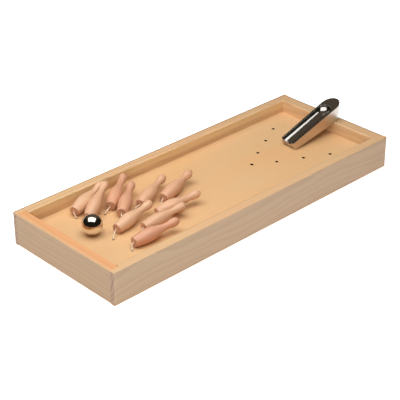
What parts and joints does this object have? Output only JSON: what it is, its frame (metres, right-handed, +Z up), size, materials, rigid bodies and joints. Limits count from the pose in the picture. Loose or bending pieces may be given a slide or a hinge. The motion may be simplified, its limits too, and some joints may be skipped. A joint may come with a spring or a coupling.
{
  "type": "table bowling game",
  "caption": "Shallow wooden tray with tethered turned pins lying at one end, a steel ball beside them and a metal ramp leaning on the other end.",
  "frame": {"origin": "middle of the tray's footprint, on the table", "axes": "+X along the tray from the pins to the ramp, +Y across it to the far rail, +Z up"},
  "size_m": [0.35, 0.137, 0.0513],
  "materials": {
    "rail wood": "sanded pale hardwood, greyish tan outside",
    "end wood": "sanded pale hardwood",
    "board wood": "smooth pale board, long fine grain",
    "pin wood": "turned pinkish beech, satin",
    "string": "thin twisted string",
    "ball steel": "polished bearing steel",
    "ramp steel": "polished metal with fine machining marks"
  },
  "bodies": {
    "tray": {"rail_front": "rail wood", "rail_back": "rail wood", "end_left": "end wood", "end_right": "end wood", "board": "board wood"},
    "pin_1": {"pin_1": "pin wood", "string_1": "string"},
    "pin_2": {"pin_2": "pin wood", "string_2": "string"},
    "pin_3": {"pin_3": "pin wood", "string_3": "string"},
    "pin_4": {"pin_4": "pin wood", "string_4": "string"},
    "pin_5": {"pin_5": "pin wood", "string_5": "string"},
    "pin_6": {"pin_6": "pin wood", "string_6": "string"},
    "pin_7": {"pin_7": "pin wood", "string_7": "string"},
    "pin_8": {"pin_8": "pin wood", "string_8": "string"},
    "pin_9": {"pin_9": "pin wood", "string_9": "string"},
    "pin_10": {"pin_10": "pin wood", "string_10": "string"},
    "ball": {"ball": "ball steel"},
    "ramp": {"ramp": "ramp steel"}
  },
  "joints": [
    {"name": "pin_1_tip", "type": "hinge", "parent": "tray", "child": "pin_1", "pos_m": [-0.1273, 0.0416, 0.0201], "axis": [0.2957, -0.9553, 0], "range_deg": [0, 82.4], "deforming": ["string_1"]},
    {"name": "pin_2_tip", "type": "hinge", "parent": "tray", "child": "pin_2", "pos_m": [-0.124, 0.0257, 0.0201], "axis": [0.5015, -0.8652, 0], "range_deg": [0, 77.1], "deforming": ["string_2"]},
    {"name": "pin_3_tip", "type": "hinge", "parent": "tray", "child": "pin_3", "pos_m": [-0.0978, 0.0271, 0.0201], "axis": [0.5563, -0.831, 0], "range_deg": [0, 82.5], "deforming": ["string_3"]},
    {"name": "pin_4_tip", "type": "hinge", "parent": "tray", "child": "pin_4", "pos_m": [-0.099, 0.0103, 0.0201], "axis": [0.6101, -0.7923, 0], "range_deg": [0, 83.8], "deforming": ["string_4"]},
    {"name": "pin_5_tip", "type": "hinge", "parent": "tray", "child": "pin_5", "pos_m": [-0.0766, 0.0106, 0.0201], "axis": [0.3567, -0.9342, 0], "range_deg": [0, 83.8], "deforming": ["string_5"]},
    {"name": "pin_6_tip", "type": "hinge", "parent": "tray", "child": "pin_6", "pos_m": [-0.1196, -0.0072, 0.0201], "axis": [0.1495, -0.9888, 0], "range_deg": [0, 83.8], "deforming": ["string_6"]},
    {"name": "pin_7_tip", "type": "hinge", "parent": "tray", "child": "pin_7", "pos_m": [-0.0541, 0.0045, 0.0201], "axis": [0.2588, -0.9659, 0], "range_deg": [0, 83.8], "deforming": ["string_7"]},
    {"name": "pin_8_tip", "type": "hinge", "parent": "tray", "child": "pin_8", "pos_m": [-0.0763, -0.0116, 0.0201], "axis": [-0.1201, -0.9928, 0], "range_deg": [0, 83.8], "deforming": ["string_8"]},
    {"name": "pin_9_tip", "type": "hinge", "parent": "tray", "child": "pin_9", "pos_m": [-0.1234, -0.0343, 0.0201], "axis": [-0.1132, -0.9936, 0], "range_deg": [0, 83.8], "deforming": ["string_9"]},
    {"name": "pin_10_tip", "type": "hinge", "parent": "tray", "child": "pin_10", "pos_m": [-0.1012, -0.0221, 0.0201], "axis": [-0.0419, -0.9991, 0], "range_deg": [0, 83.8], "deforming": ["string_10"]},
    {"name": "ball_lift", "type": "slide", "parent": "tray", "child": "ball", "axis": [0, 0, 1], "range_m": [0, 0.06]},
    {"name": "ramp_lift", "type": "slide", "parent": "tray", "child": "ramp", "axis": [0, 0, 1], "range_m": [0, 0.05]}
  ]
}
